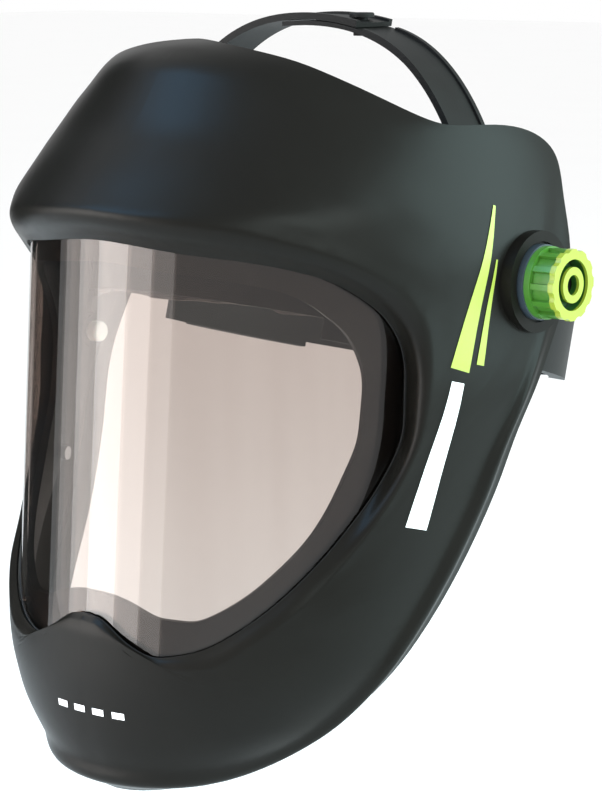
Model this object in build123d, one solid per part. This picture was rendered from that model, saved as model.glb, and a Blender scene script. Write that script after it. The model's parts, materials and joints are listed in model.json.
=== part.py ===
from build123d import *
import math
import os

# Powered air respirator head unit: a tilting face shield on a head harness. Millimetres.
# Origin: the middle of the pivot axis, on the symmetry plane, inside the wearer's head space.
# +Z up, -Y to the front (the face), +X to the wearer's left. The pivot axis lies along X.
# Left parts are made on the +X side; right parts are their mirror images unless said otherwise.

# ---------------------------------------------------------------- driving dimensions

SHELL_RISE = 5.0                # level 0 of the shell and lens tables, above the pivot axis

# Shell surface: half ellipses across the head, one for each height.
# Height z, centre y, half width, front y.
SHELL_SECTIONS = [
    (-202, -111, 5, -114),
    (-199, -106, 20, -118.5),
    (-192, -96, 41, -126),
    (-182, -84, 59, -130),
    (-168, -70, 76, -132.5),
    (-147, -53, 90, -134.5),
    (-125, -36, 97, -135),
    (-104, -22, 102, -131),
    (-75, -6, 108, -131),
    (-40, 8, 113, -134),
    (0, 20, 113, -136),
    (22, 20, 110, -134),
    (35, 20, 107, -123),
    (55, 20, 100, -102),
    (66, 18, 90, -94),
    (76, 12, 78, -87),
    (84, 2, 62, -74),
    (88, -6, 46, -56),
]
SHELL_WALL = 2.3

# Matching outlines, station by station from the top centre round the left side to the bottom
# centre. Window crease and shell edge: angle from the front and height, on the shell surface.
WINDOW_CREASE = [
    (0, 23), (16, 20.6), (32, 16.5), (44, 10), (54, -1), (60, -14), (63, -33), (63.8, -60), (61.5, -82),
    (57, -101), (49, -122), (41, -133.5), (32, -142.3), (23, -142.6), (14, -137.5), (6, -132.3), (0, -131.5),
]
SHELL_EDGE = [
    (0, 86), (20, 84), (40, 78), (54, 66), (66, 55.3), (80, 53.8), (91, 42), (91, 5), (89.5, -30),
    (87, -62), (88.5, -95), (90, -125), (91, -152), (92, -172), (90, -187), (70, -197), (0, -200.5),
]
# Lens opening in the lip and opening of the inner frame: angle round the lens axis and height.
LENS_OPENING = [
    (0, 13.3), (22, 10.2), (40, 7), (55, 1.5), (66, -7), (74, -17), (79.5, -34), (80, -57), (75.5, -73),
    (67, -90), (55, -110), (43, -126), (30, -137.5), (20, -140.5), (12, -136), (5, -129), (0, -127.5),
]
FRAME_OPENING = [
    (0, 5), (20, 2.5), (37, -0.5), (49, -5), (58, -13), (65, -23), (69.5, -40), (69, -58), (65, -74),
    (58, -93), (48, -109), (38, -120.5), (28, -127), (20, -126.5), (12.5, -122.5), (6, -120), (0, -119.5),
]
JAW_RIDGE = 3.0                 # height of the rounded ridge just inside the jaw edge
JAW_RIDGE_FROM = 7.0            # station where the ridge starts to rise
LIP_SEAT = 1.6                  # gap between the lip's inner edge and the lens
LIP_EDGE = 0.8                  # wall left at the lip's inner edge

LENS_RADIUS = 90.0              # outer face of the lens
LENS_THICKNESS = 2.0
LENS_AXIS_Y = -31.0             # the lens axis passes through this y at LENS_AXIS_Z
LENS_AXIS_Z = 15.0
LENS_TILT = math.radians(3.9)   # the lens axis leans back at the top
LENS_OVERLAP = 3.0              # lens behind the lip, past the opening
FRAME_OUTER = 8.0               # inner frame past the opening
FRAME_THICKNESS = 3.0
GASKET_THICKNESS = 0.45
GASKET_WIDTH = 1.6

# Head ring: a half circle in front, straight sides, and a half circle behind. It is modelled level,
# then leans about the pivot axis with its front up.
RING_LEAN = 15.0                # degrees
REAR_ARC_Y = 36.0               # centre of the rear half circle
HEAD_RADIUS = 86.0              # outside of the headband
BAND_THICKNESS = 2.0
RING_LOW = -28.0                # lower and upper edge of the ring
RING_HIGH = 0.0
RING_MIDDLE = (RING_LOW + RING_HIGH) / 2
STRAP_THICKNESS = 2.0
STRAP_GAP = 0.4                 # running gap between the headband and the two nape straps

PIVOT_BOSS_RADIUS = 19.5
PIVOT_BOSS_IN = 107.4           # inner face of the shell's pivot boss
PIVOT_BOSS_OUT = 114.6
WASHER_SEAT_RADIUS = 15.5       # sunk seat of the outer washer in the boss
WASHER_SEAT_DEPTH = 1.4
OUTER_WASHER_RADIUS = 14.5
HUB_RADIUS = 12.5               # end of the slider's hub, and the friction washer on it
HUB_NECK_RADIUS = 8.7
HUB_END = 105.3                 # outer end of the slider's hub
STUD_HEAD_RADIUS = 8.0
STUD_HEAD_IN = 90.6
STUD_HEAD_OUT = 93.6
STUD_SHOULDER = 6.1             # radius the shell turns on
SHOULDER_END = 113.2
STUD_THREAD = 4.0
STUD_END = 126.0
RUNNING = 0.05                  # radial clearance of the running fits
KNOB_BASE = 116.6               # x of the clamp knob's base
KNOB_FACE = 129.8
KNOB_RADIUS = 14.0
KNOB_FLANGE = 2.6               # thickness of the round base
KNOB_FLUTES = 12
KNOB_RING_OUTER = 9.8           # ring sunk in the knob's face
KNOB_RING_INNER = 6.85
KNOB_RING_DEPTH = 6.5
KNOB_EYE_RADIUS = 3.9           # hole through the hub
INSERT_RADIUS = 5.5             # threaded metal insert in the knob

PIN_Y = -41.0                   # lens lock pin
PIN_Z = -33.0
PIN_SHAFT = 2.5
PIN_GRIP_RADIUS = 4.3
PIN_GRIP_IN = 78.4
PIN_GRIP_OUT = 83.2
PIN_TIP = 99.0
PIN_COLLAR = 95.4               # outer face of the collar
PIN_COLLAR_RADIUS = 3.8
PIN_COLLAR_THICKNESS = 1.2
PIN_SOCKET = 96.2               # mouth of the socket in the shell
PIN_SOCKET_RADIUS = 5.2
PIN_BUSH_RADIUS = 4.0
BUSH_START = 83.6
BUSH_FACE = 89.2                # outer face of the bushing's flange
BUSH_FLANGE = 1.1
SPRING_TURNS = 2.5
SPRING_RADIUS = 3.2
SPRING_WIRE = 0.35              # radius of the wire

FRAME_SCREW_STATIONS = (2.2, 8.6, 11.4)
FRAME_SCREW_RADIUS = 1.5
FRAME_SCREW_HEAD = 2.8
FRAME_SCREW_COVER = 0.7         # lip left over the screw's tip

# Headband: an arc in front, narrower sides, and sleeves that guide the nape straps.
FRONT_END = 59.0                # angle where the front of the band meets its narrower sides
TAB_START = 46.0                # angle where the lower tab of the front begins
TAB_DROP = 8.0
SIDE_LOW = -20.0                # lower edge of the sides, clear of the lens lock pins
SIDE_HIGH = 13.0
SLOT_ANGLES = range(-40, 41, 20)
SLOT_LENGTH = 16.0
SLOT_WIDTH = 5.0
SLEEVE_ANGLES = (90.0, 128.0)
SLEEVE_WALL = 2.3
SLEEVE_PLAY = 0.3               # room between a sleeve and its strap
SWEATBAND_THICKNESS = 5.8
PAD_MARGIN = 3.0                # soft pads past the edges of what they cover

RAIL_FACE = 89.8                # x of the rail's face, where the slider runs
RAIL_LIP = 94.5                 # inner face of the hooked lips
RAIL_OUT = 95.8
RAIL_HALF_LENGTH = 35.0
RAIL_HALF_HEIGHT = 13.0
RAIL_HOOK = 9.2                 # height where the hooks end
SLIDER_HALF_HEIGHT = 10.8
SLIDER_HALF_LENGTH = 14.0

RACK_MODULE = 1.0
PINION_TEETH = 10
PINION_PITCH_RADIUS = RACK_MODULE * PINION_TEETH / 2
RACK_PITCH = math.pi * RACK_MODULE
RACK_HALF_TEETH = 9             # rack teeth each side of the pinion, at rest
RACK_TOOTH_HEIGHT = 2.1
PINION_ROOT_RADIUS = 3.85
PINION_TIP_RADIUS = 5.75
PINION_STUB_RADIUS = 3.0        # stub that carries the nape knob
PINION_STUB_END = 103.0
JOURNAL_RADIUS = 2.4
STRAP_START = 104.0             # angle of a nape strap's front end at rest
STRAP_TAIL = 208.0              # angle of its rear end, past the middle of the nape
HOUSING_HALF_ANGLE = 22.0
HOUSING_IN = HEAD_RADIUS - 2.4
HOUSING_LOW = RING_LOW - 6
HOUSING_HIGH = RING_HIGH + 6
PINION_END = 91.9               # outer face of the pinion's teeth
COVER_IN = PINION_END + 0.5
COVER_OUT = COVER_IN + 2.2
COVER_SCREW_ANGLE = 18.5        # each side of the middle of the nape
COVER_SCREW_RADIUS = 1.3
NAPE_KNOB_RADIUS = 19.0
NAPE_KNOB_END = 110.0
NAPE_KNOB_FLUTES = 16
NAPE_PAD_THICKNESS = 7.4
NAPE_PAD_ANGLES = (154, 206)

# Middle line of the left crown strap's inner face, seen from the front: distance out and height.
CROWN_SIDE_X = 80.6
CROWN_TOP = 94.5
CROWN_PATH = [
    (CROWN_SIDE_X, -9), (CROWN_SIDE_X, 14), (76.5, 41), (66, 63), (51, 80), (29, 91), (2, CROWN_TOP),
]
CROWN_Y = 9.0                   # middle of the crown strap, front to back
CROWN_WIDTH = 23.0
CROWN_THICKNESS = 1.8
CROWN_RIM = 1.0                 # extra height of the raised rims
CROWN_RIM_WIDTH = 2.2
PEG_X = 20.0
PEG_RADIUS = 2.3
PEG_PITCH = 9.0
PEG_PLAY = 0.1

RIVET_RADIUS = 2.4
RIVET_HEAD_RADIUS = 4.0
RIVET_HEAD = 1.2                # thickness of each head
RIVET_ROWS = (-30.0, CROWN_Y, 30.5)

# Steps across the shell's skin: over the lip, then from the window crease to the free edge.
LIP_STEPS = (-1, -0.6, -0.25)
WALL_STEPS = (0.035, 0.1, 0.2, 0.34, 0.48, 0.62, 0.74, 0.81, 0.85, 0.89, 0.93, 0.965, 1.0)
RIDGE_STEP = 0.88               # where the jaw ridge is highest
RIDGE_SPREAD = 0.05

SIDES = (("left", 1), ("right", -1))


# ---------------------------------------------------------------- smooth tables and surfaces

def shared_slope(a, b):
    """Slope at a point between two stretches: their harmonic mean, or level at a turning point."""
    if a * b <= 0:
        return 0.0
    return 2 * a * b / (a + b)


def blend(rows, t):
    """Values at t of a smooth curve through rows of (t, value, ...) in rising t, with no overshoot."""
    last = len(rows) - 2
    i = max([k for k in range(last + 1) if rows[k][0] <= t] or [0])
    low, high = rows[i], rows[i + 1]
    span = high[0] - low[0]
    s = (t - low[0]) / span
    values = []
    for k in range(1, len(low)):
        slope = (high[k] - low[k]) / span
        start = end = slope
        if i > 0:
            before = (low[k] - rows[i - 1][k]) / (low[0] - rows[i - 1][0])
            start = shared_slope(before, slope)
        if i < last:
            after = (rows[i + 2][k] - high[k]) / (rows[i + 2][0] - high[0])
            end = shared_slope(slope, after)
        value = (1 + 2 * s) * (1 - s) ** 2 * low[k] + s * s * (3 - 2 * s) * high[k]
        value += span * (s * (1 - s) ** 2 * start - s * s * (1 - s) * end)
        values.append(value)
    return values


def ramp(low, high, t):
    """0 below low, 1 above high, smooth between."""
    s = min(1.0, max(0.0, (t - low) / (high - low)))
    return s * s * (3 - 2 * s)


def on_outline(outline, u):
    """Angle and height at station u of an outline, mirrored past either end."""
    last = len(outline) - 1
    side = 1
    if u < 0:
        u, side = -u, -1
    if u > last:
        u, side = 2 * last - u, -1
    before, after = outline[1], outline[-2]
    rows = [(k, *pair) for k, pair in enumerate(outline)]
    rows = [(-1, -before[0], before[1])] + rows + [(last + 1, -after[0], after[1])]
    angle, z = blend(rows, u)
    return side * angle, z


def shell_point(angle, z):
    """Point of the shell's outer surface at an angle from the front and a height."""
    centre, half_width, front = blend(SHELL_SECTIONS, z)
    a = math.radians(angle)
    return Vector(half_width * math.sin(a), centre - (centre - front) * math.cos(a), z + SHELL_RISE)


def lens_point(angle, z, radius=LENS_RADIUS):
    """Point at a radius from the lens axis, in line with the lens face at this angle and height."""
    a = math.radians(angle)
    along = (z - LENS_AXIS_Z - LENS_RADIUS * math.cos(a) * math.sin(LENS_TILT)) / math.cos(LENS_TILT)
    y = LENS_AXIS_Y + along * math.sin(LENS_TILT) - radius * math.cos(a) * math.cos(LENS_TILT)
    height = LENS_AXIS_Z + along * math.cos(LENS_TILT) + radius * math.cos(a) * math.sin(LENS_TILT)
    return Vector(radius * math.sin(a), y, height + SHELL_RISE)


def lens_distance(point):
    """Distance of a point from the lens axis."""
    y, z = point.Y - LENS_AXIS_Y, point.Z - LENS_AXIS_Z - SHELL_RISE
    return math.hypot(point.X, y * math.cos(LENS_TILT) - z * math.sin(LENS_TILT))


def moved_out(outline, u, distance):
    """Angle and height of an outline on the lens face after moving it out by a distance."""
    step = 0.05
    per_degree = math.radians(LENS_RADIUS)
    a0, z0 = on_outline(outline, u - step)
    a1, z1 = on_outline(outline, u + step)
    run, rise = (a1 - a0) * per_degree, z1 - z0
    length = math.hypot(run, rise)
    angle, z = on_outline(outline, u)
    return angle - rise / length * distance / per_degree, z + run / length * distance


def stations(count=36, spare=1.0):
    """Stations from just before the top centre to just past the bottom centre."""
    last = len(WINDOW_CREASE) - 1
    return [-spare + (last + 2 * spare) * k / count for k in range(count + 1)]


def closed_face(*edges):
    """Flat face inside a closed run of edges."""
    return Face(Wire([edge.edge() for edge in edges]))


def both_sides(half):
    """Cut a half shape at the symmetry plane and join it to its mirror image."""
    kept = split(half, bisect_by=Plane.YZ, keep=Keep.TOP)
    return kept + mirror(kept, about=Plane.YZ)


def ring_from_sections(sections):
    """Solid lofted through closed four-cornered sections, then mirrored to a full ring."""
    wires = [Wire(Polyline(*corners, close=True).edges()) for corners in sections]
    return both_sides(Solid.make_loft(wires))


def x_rod(radius, start, end, side=1, y=0.0, z=0.0):
    """Solid rod along X between two distances from the symmetry plane, on one side."""
    middle = side * (start + end) / 2
    return Pos(middle, y, z) * Rot(0, 90, 0) * Cylinder(radius, end - start)


def y_rod(radius, start, end, x=0.0, z=0.0):
    """Solid rod along Y."""
    return Pos(x, (start + end) / 2, z) * Rot(90, 0, 0) * Cylinder(radius, end - start)


# ---------------------------------------------------------------- shell

def shell_skin(u, v):
    """Smooth outer skin: v from -1 at the lip's inner edge, 0 at the window crease, 1 at the edge."""
    crease_angle, crease_z = on_outline(WINDOW_CREASE, u)
    if v <= 0:
        inner = lens_point(*on_outline(LENS_OPENING, u), LENS_RADIUS + LIP_SEAT)
        crease = shell_point(crease_angle, crease_z)
        return crease + (inner - crease) * -v
    edge_angle, edge_z = on_outline(SHELL_EDGE, u)
    angle = crease_angle + (edge_angle - crease_angle) * v
    return shell_point(angle, crease_z + (edge_z - crease_z) * v)


def jaw_ridge(u, v):
    """Height of the rounded ridge that runs round the jaw just inside the free edge."""
    across = math.exp(-((v - RIDGE_STEP) / RIDGE_SPREAD) ** 2)
    return JAW_RIDGE * across * ramp(JAW_RIDGE_FROM, JAW_RIDGE_FROM + 2.5, u)


def wall_at(v):
    """Wall thickness: thin at the lip's inner edge, full a little way along the lip."""
    return LIP_EDGE + (SHELL_WALL - LIP_EDGE) * ramp(-1.0, -0.4, v)


def shell_section(rows, k, u):
    """Closed wire round the wall at one station: outer curve, edge, inner curve, lip edge."""
    steps = LIP_STEPS + WALL_STEPS
    outer, inner = [], []
    for j, v in enumerate(steps):
        across = rows[k + 1][j] - rows[k - 1][j]
        along = rows[k][min(j + 1, len(steps) - 1)] - rows[k][max(j - 1, 0)]
        normal = across.cross(along).normalized()
        face = rows[k][j] + normal * jaw_ridge(u, v)
        outer.append(face)
        inner.append(face - normal * wall_at(v))
    places = [j / (len(steps) - 1) for j in range(len(steps))]
    edges = [
        Edge.make_spline(outer, parameters=places),
        Edge.make_line(outer[-1], inner[-1]),
        Edge.make_spline(inner, parameters=places),
        Edge.make_line(inner[0], outer[0]),
    ]
    return Wire(edges)


def make_shell():
    places = stations()
    step = places[1] - places[0]
    places = [places[0] - step] + places + [places[-1] + step]
    rows = [[shell_skin(u, v) for v in LIP_STEPS + WALL_STEPS] for u in places]
    wires = [shell_section(rows, k, places[k]) for k in range(1, len(places) - 1)]
    shell = both_sides(Solid.make_loft(wires))
    for side in (1, -1):
        shell += x_rod(PIVOT_BOSS_RADIUS, PIVOT_BOSS_IN, PIVOT_BOSS_OUT, side)
        shell += x_rod(PIN_SOCKET_RADIUS, PIN_SOCKET, PIN_TIP + 4.4, side, PIN_Y, PIN_Z)
        shell -= x_rod(WASHER_SEAT_RADIUS, PIVOT_BOSS_OUT - WASHER_SEAT_DEPTH, PIVOT_BOSS_OUT + 1, side)
        shell -= x_rod(STUD_SHOULDER + RUNNING, PIVOT_BOSS_IN - 1, PIVOT_BOSS_OUT + 1, side)
        shell -= x_rod(PIN_SHAFT + RUNNING, PIN_SOCKET - 1, PIN_TIP + 1.2, side, PIN_Y, PIN_Z)
    return shell


# ---------------------------------------------------------------- lens, gasket and inner frame

def make_lens():
    """Curved lens: a tube wall about the lens axis, cut to the window outline in a slanted view."""
    view = math.radians(42)
    across = Vector(math.cos(view), math.sin(view), 0)
    plane = Plane(origin=(0, 0, 0), x_dir=across, z_dir=(math.sin(view), -math.cos(view), 0))
    outline = []
    for u in stations():
        angle, z = moved_out(LENS_OPENING, u, LENS_OVERLAP)
        place = plane.to_local_coords(lens_point(angle, z))
        outline.append((place.X, place.Y))
    edge = Spline(*outline)
    window = plane * closed_face(edge, Line(edge @ 1, edge @ 0))
    prism = extrude(window, amount=150, dir=plane.z_dir)
    axis = Location((0, LENS_AXIS_Y, LENS_AXIS_Z + SHELL_RISE), (-math.degrees(LENS_TILT), 0, 0))
    tube = axis * (Cylinder(LENS_RADIUS, 400) - Cylinder(LENS_RADIUS - LENS_THICKNESS, 400))
    return both_sides(tube & prism)


def rim_section(outline, inner_move, outer_move, inner_radius, outer_radius, u):
    """Four corners of a band that follows an outline on the lens, at station u."""
    a, z = moved_out(outline, u, inner_move)
    b, w = moved_out(outline, u, outer_move)
    corners = [(a, z, inner_radius), (b, w, inner_radius), (b, w, outer_radius), (a, z, outer_radius)]
    return [lens_point(*corner) for corner in corners]


def make_gasket():
    """Soft strip between the lens and the lip."""
    low = LENS_RADIUS + RUNNING
    high = low + GASKET_THICKNESS
    sections = [rim_section(LENS_OPENING, 0.2, GASKET_WIDTH, low, high, u) for u in stations()]
    return ring_from_sections(sections)


def frame_section(u):
    """Four corners of the inner frame: the outer edge follows the lens, the inner one its own outline."""
    outer = LENS_RADIUS - LENS_THICKNESS - RUNNING
    inner = outer - FRAME_THICKNESS
    a, z = moved_out(LENS_OPENING, u, FRAME_OUTER)
    b, w = on_outline(FRAME_OPENING, u)
    corners = [(a, z, outer), (b, w, outer), (b, w, inner), (a, z, inner)]
    return [lens_point(*corner) for corner in corners]


def make_lens_frame():
    frame = ring_from_sections([frame_section(u) for u in stations()])
    for side in (1, -1):
        frame += x_rod(6.5, BUSH_START, 86.8, side, PIN_Y, PIN_Z)
        frame -= x_rod(PIN_BUSH_RADIUS, 76.0, 98.0, side, PIN_Y, PIN_Z)
    for screw in FRAME_SCREW_STATIONS:
        for side in (1, -1):
            frame -= frame_rod(screw, side, FRAME_SCREW_RADIUS + 0.1, 80.0, 100.0)
    return frame


def frame_rod(u, side, radius, start, end):
    """Rod on a radius of the lens axis at the frame's hidden rim."""
    angle, z = moved_out(LENS_OPENING, u, (LENS_OVERLAP + FRAME_OUTER) / 2)
    inner, outer = lens_point(angle, z, start), lens_point(angle, z, end)
    inner, outer = Vector(side * inner.X, inner.Y, inner.Z), Vector(side * outer.X, outer.Y, outer.Z)
    axis = outer - inner
    plane = Plane(origin=inner + axis * 0.5, z_dir=axis)
    return plane * Cylinder(radius, axis.length)


def screw_tip(u):
    """Distance from the lens axis where a screw ends, just inside the lip's outer face."""
    lip = (shell_skin(u, 0) - shell_skin(u, -1)).length
    past_opening = (LENS_OVERLAP + FRAME_OUTER) / 2
    return lens_distance(shell_skin(u, past_opening / lip - 1)) - FRAME_SCREW_COVER


def make_frame_screws():
    """Six screws that hold the frame and lens to the back of the lip."""
    screws = []
    for u in FRAME_SCREW_STATIONS:
        for side in (1, -1):
            screw = frame_rod(u, side, FRAME_SCREW_RADIUS, 84.0, screw_tip(u))
            screw += frame_rod(u, side, FRAME_SCREW_HEAD, 82.4, 84.4)
            screws.append(screw.solid())
    return Compound(children=screws)


# ---------------------------------------------------------------- lens lock pins

def make_lock_pin(side):
    """Pull pin: a grip inside the face space, a shaft through the frame, a collar for the spring."""
    pin = x_rod(PIN_SHAFT, PIN_GRIP_OUT, PIN_TIP, side, PIN_Y, PIN_Z)
    pin += pin_grip(side)
    pin += x_rod(PIN_COLLAR_RADIUS, PIN_COLLAR - PIN_COLLAR_THICKNESS, PIN_COLLAR, side, PIN_Y, PIN_Z)
    return pin


def pin_grip(side):
    """Short grip with its inner end rounded."""
    grip = x_rod(PIN_GRIP_RADIUS, PIN_GRIP_IN, PIN_GRIP_OUT, side, PIN_Y, PIN_Z)
    rims = grip.edges().filter_by(GeomType.CIRCLE).sort_by(Axis.X)
    return fillet(rims[0] if side > 0 else rims[-1], 1.5)


def make_pin_bushing(side):
    """Flanged bushing in the frame."""
    bush = x_rod(PIN_BUSH_RADIUS, BUSH_START, BUSH_FACE, side, PIN_Y, PIN_Z)
    bush += x_rod(PIN_BUSH_RADIUS + 0.6, BUSH_FACE - BUSH_FLANGE, BUSH_FACE, side, PIN_Y, PIN_Z)
    return bush - x_rod(PIN_SHAFT + RUNNING, 80.0, 92.0, side, PIN_Y, PIN_Z)


def make_pin_spring(side):
    """Return spring round the pin, between the bushing and the collar."""
    low = BUSH_FACE + SPRING_WIRE + RUNNING
    high = PIN_COLLAR - PIN_COLLAR_THICKNESS - SPRING_WIRE - RUNNING
    path = Helix(pitch=(high - low) / SPRING_TURNS, height=high - low, radius=SPRING_RADIUS)
    profile = Plane(origin=path @ 0, z_dir=path % 0) * Circle(SPRING_WIRE)
    coil = sweep(profile, path=path, is_frenet=True)
    spring = Pos(low, PIN_Y, PIN_Z) * Rot(0, 90, 0) * coil
    return spring if side > 0 else mirror(spring, about=Plane.YZ)


# ---------------------------------------------------------------- pivots and clamp knobs

def make_stud(side):
    """Pivot stud: head in the slider, plain shoulder for the shell, thread for the knob."""
    stud = x_rod(STUD_HEAD_RADIUS, STUD_HEAD_IN, STUD_HEAD_OUT, side)
    stud += x_rod(STUD_SHOULDER, STUD_HEAD_OUT, SHOULDER_END, side)
    return stud + x_rod(STUD_THREAD, SHOULDER_END, STUD_END, side)


def make_friction_washer(side):
    """Washer squeezed between the slider's hub and the shell's boss."""
    washer = x_rod(HUB_RADIUS, HUB_END + RUNNING, PIVOT_BOSS_IN - RUNNING, side)
    return washer - x_rod(STUD_SHOULDER + RUNNING, 100.0, 112.0, side)


def make_outer_washer(side):
    """Washer in the boss's sunk seat, under the knob."""
    seat = PIVOT_BOSS_OUT - WASHER_SEAT_DEPTH
    washer = x_rod(OUTER_WASHER_RADIUS, seat + RUNNING, KNOB_BASE - RUNNING, side)
    return washer - x_rod(STUD_SHOULDER + 0.3, 110.0, 118.0, side)


def scalloped_disc(radius, depth, count, start, end, side):
    """Disc along X with round bites taken from its rim."""
    disc = x_rod(radius, start, end, side)
    bite_radius = math.pi * radius / count * 0.9
    reach = radius + bite_radius - depth
    for k in range(count):
        a = 2 * math.pi * (k + 0.5) / count
        disc -= x_rod(bite_radius, start - 1, end + 1, side, reach * math.cos(a), reach * math.sin(a))
    return disc


def make_knob(side):
    """Clamp knob: round base flange, fluted body, scalloped face with a sunk ring and a hollow hub."""
    knob = x_rod(KNOB_RADIUS, KNOB_BASE, KNOB_BASE + KNOB_FLANGE, side)
    knob += x_rod(KNOB_RADIUS - 1.9, KNOB_BASE + KNOB_FLANGE, KNOB_FACE - 2.2, side)
    for k in range(KNOB_FLUTES):
        turn = Rot(360 / KNOB_FLUTES * k, 0, 0)
        rib = Box(KNOB_FACE - KNOB_BASE - 3, 2.2, 3.0)
        knob += turn * Pos(side * (KNOB_BASE + KNOB_FACE) / 2, 0, KNOB_RADIUS - 2.1) * rib
    knob += scalloped_disc(KNOB_RADIUS - 0.3, 0.8, KNOB_FLUTES, KNOB_FACE - 2.4, KNOB_FACE, side)
    sunk = x_rod(KNOB_RING_OUTER, KNOB_FACE - KNOB_RING_DEPTH, KNOB_FACE + 1, side)
    knob -= sunk - x_rod(KNOB_RING_INNER, KNOB_FACE - KNOB_RING_DEPTH - 1, KNOB_FACE + 2, side)
    knob -= x_rod(INSERT_RADIUS, KNOB_BASE - 1, KNOB_FACE - 3.5, side)
    return knob - x_rod(KNOB_EYE_RADIUS, KNOB_BASE, KNOB_FACE + 1, side)


def make_knob_insert(side):
    """Threaded insert in the knob's hub."""
    insert = x_rod(INSERT_RADIUS, KNOB_BASE + 0.6, KNOB_FACE - 3.6, side)
    return insert - x_rod(STUD_THREAD + RUNNING, KNOB_BASE - 1, KNOB_FACE, side)


# ---------------------------------------------------------------- headband

def polar(radius, angle, z=0.0):
    """Point at an angle from the front towards the wearer's left."""
    a = math.radians(angle)
    return Vector(radius * math.sin(a), -radius * math.cos(a), z)


def arc_band(inner, outer, low, high, start, end):
    """Upright curved band about the head's axis between two angles from the front."""
    middle = (start + end) / 2
    outside = ThreePointArc(polar(outer, start), polar(outer, middle), polar(outer, end))
    inside = ThreePointArc(polar(inner, end), polar(inner, middle), polar(inner, start))
    face = closed_face(outside, Line(outside @ 1, inside @ 0), inside, Line(inside @ 1, outside @ 0))
    return Pos(0, 0, low) * extrude(face, amount=high - low, dir=(0, 0, 1))


def mirrored_arc(inner, outer, low, high, start, end, side):
    """Curved band on one side of the head."""
    first, last = sorted((side * start, side * end))
    return arc_band(inner, outer, low, high, first, last)


def make_headband():
    """Band round the forehead and the sides, with slots in front and a sleeve at each end."""
    inner, outer = HEAD_RADIUS - BAND_THICKNESS, HEAD_RADIUS
    band = arc_band(inner, outer, RING_LOW, RING_HIGH, -FRONT_END, FRONT_END)
    for angle in SLOT_ANGLES:
        facing = Pos(*polar(HEAD_RADIUS, angle, RING_MIDDLE)) * Rot(0, 0, angle) * Rot(90, 0, 0)
        band -= extrude(facing * SlotOverall(SLOT_LENGTH, SLOT_WIDTH), amount=8, both=True)
    for side in (1, -1):
        band += mirrored_arc(inner, outer, RING_LOW - TAB_DROP, RING_LOW, TAB_START, FRONT_END, side)
        band += mirrored_arc(inner, outer, SIDE_LOW, SIDE_HIGH, FRONT_END, 90, side)
        band += straight_side(inner, outer, side)
    for side in (1, -1):
        for y in RIVET_ROWS:
            band -= x_rod(RIVET_RADIUS, 70, 95, side, y)
    for side in (1, -1):
        band += make_sleeve(side)
    return band


def straight_side(inner, outer, side):
    """Flat plate that joins the front arc to the sleeve."""
    x = side * (inner + outer) / 2
    upper = Pos(x, REAR_ARC_Y / 2, (SIDE_LOW + SIDE_HIGH) / 2)
    lower = Pos(x, REAR_ARC_Y * 0.7, RING_MIDDLE)
    plate = upper * Box(outer - inner, REAR_ARC_Y, SIDE_HIGH - SIDE_LOW)
    return plate + lower * Box(outer - inner, REAR_ARC_Y * 0.6, RING_HIGH - RING_LOW + 2 * SLEEVE_WALL)


def make_sleeve(side):
    """Sleeve on the rear arc that a nape strap slides in."""
    strap_in = strap_radius(side)
    strap_out = strap_in + STRAP_THICKNESS
    start, end = SLEEVE_ANGLES
    inner, outer = HEAD_RADIUS - BAND_THICKNESS, strap_out + SLEEVE_WALL
    low, high = RING_LOW - SLEEVE_WALL, RING_HIGH + SLEEVE_WALL
    sleeve = mirrored_arc(inner, outer, low, high, start, end, side)
    inner, outer = strap_in - SLEEVE_PLAY, strap_out + SLEEVE_PLAY
    low, high = RING_LOW - STRAP_GAP, RING_HIGH + STRAP_GAP
    space = mirrored_arc(inner, outer, low, high, start - 2, end + 2, side)
    return Pos(0, REAR_ARC_Y, 0) * (sleeve - space)


def strap_radius(side):
    """Inner radius of a nape strap: the right strap passes outside the left one."""
    left = HEAD_RADIUS + STRAP_GAP
    return left if side > 0 else left + STRAP_THICKNESS + STRAP_GAP


def make_side_rail(side):
    """Rail on the side of the headband: a base that fits the band and two hooked lips."""
    rail = block(78.0, RAIL_FACE, RAIL_HALF_LENGTH, -RAIL_HALF_HEIGHT, RAIL_HALF_HEIGHT)
    seat = HEAD_RADIUS + RUNNING
    rail -= Cylinder(seat, 60) + Pos(0, REAR_ARC_Y / 2, 0) * Box(2 * seat, REAR_ARC_Y, 60)
    for up in (1, -1):
        edge, root, hook = up * RAIL_HALF_HEIGHT, up * (SLIDER_HALF_HEIGHT + 0.3), up * RAIL_HOOK
        rail += block(RAIL_FACE - 1, RAIL_OUT, RAIL_HALF_LENGTH, min(edge, root), max(edge, root))
        rail += block(RAIL_LIP, RAIL_OUT, RAIL_HALF_LENGTH, min(edge, hook), max(edge, hook))
    for y in RIVET_ROWS:
        rail -= x_rod(RIVET_RADIUS, 70, 95, 1, y) + x_rod(RIVET_HEAD_RADIUS + 0.2, RAIL_FACE - 1.6, 95, 1, y)
    return on_side(rail, side)


def block(x_low, x_high, half_length, z_low, z_high):
    """Box on the left side, centred on y = 0."""
    size = (x_high - x_low, 2 * half_length, z_high - z_low)
    return Pos((x_low + x_high) / 2, 0, (z_low + z_high) / 2) * Box(*size)


def on_side(shape, side):
    """A left part, or its mirror image for the right side."""
    return shape if side > 0 else mirror(shape, about=Plane.YZ)


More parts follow.
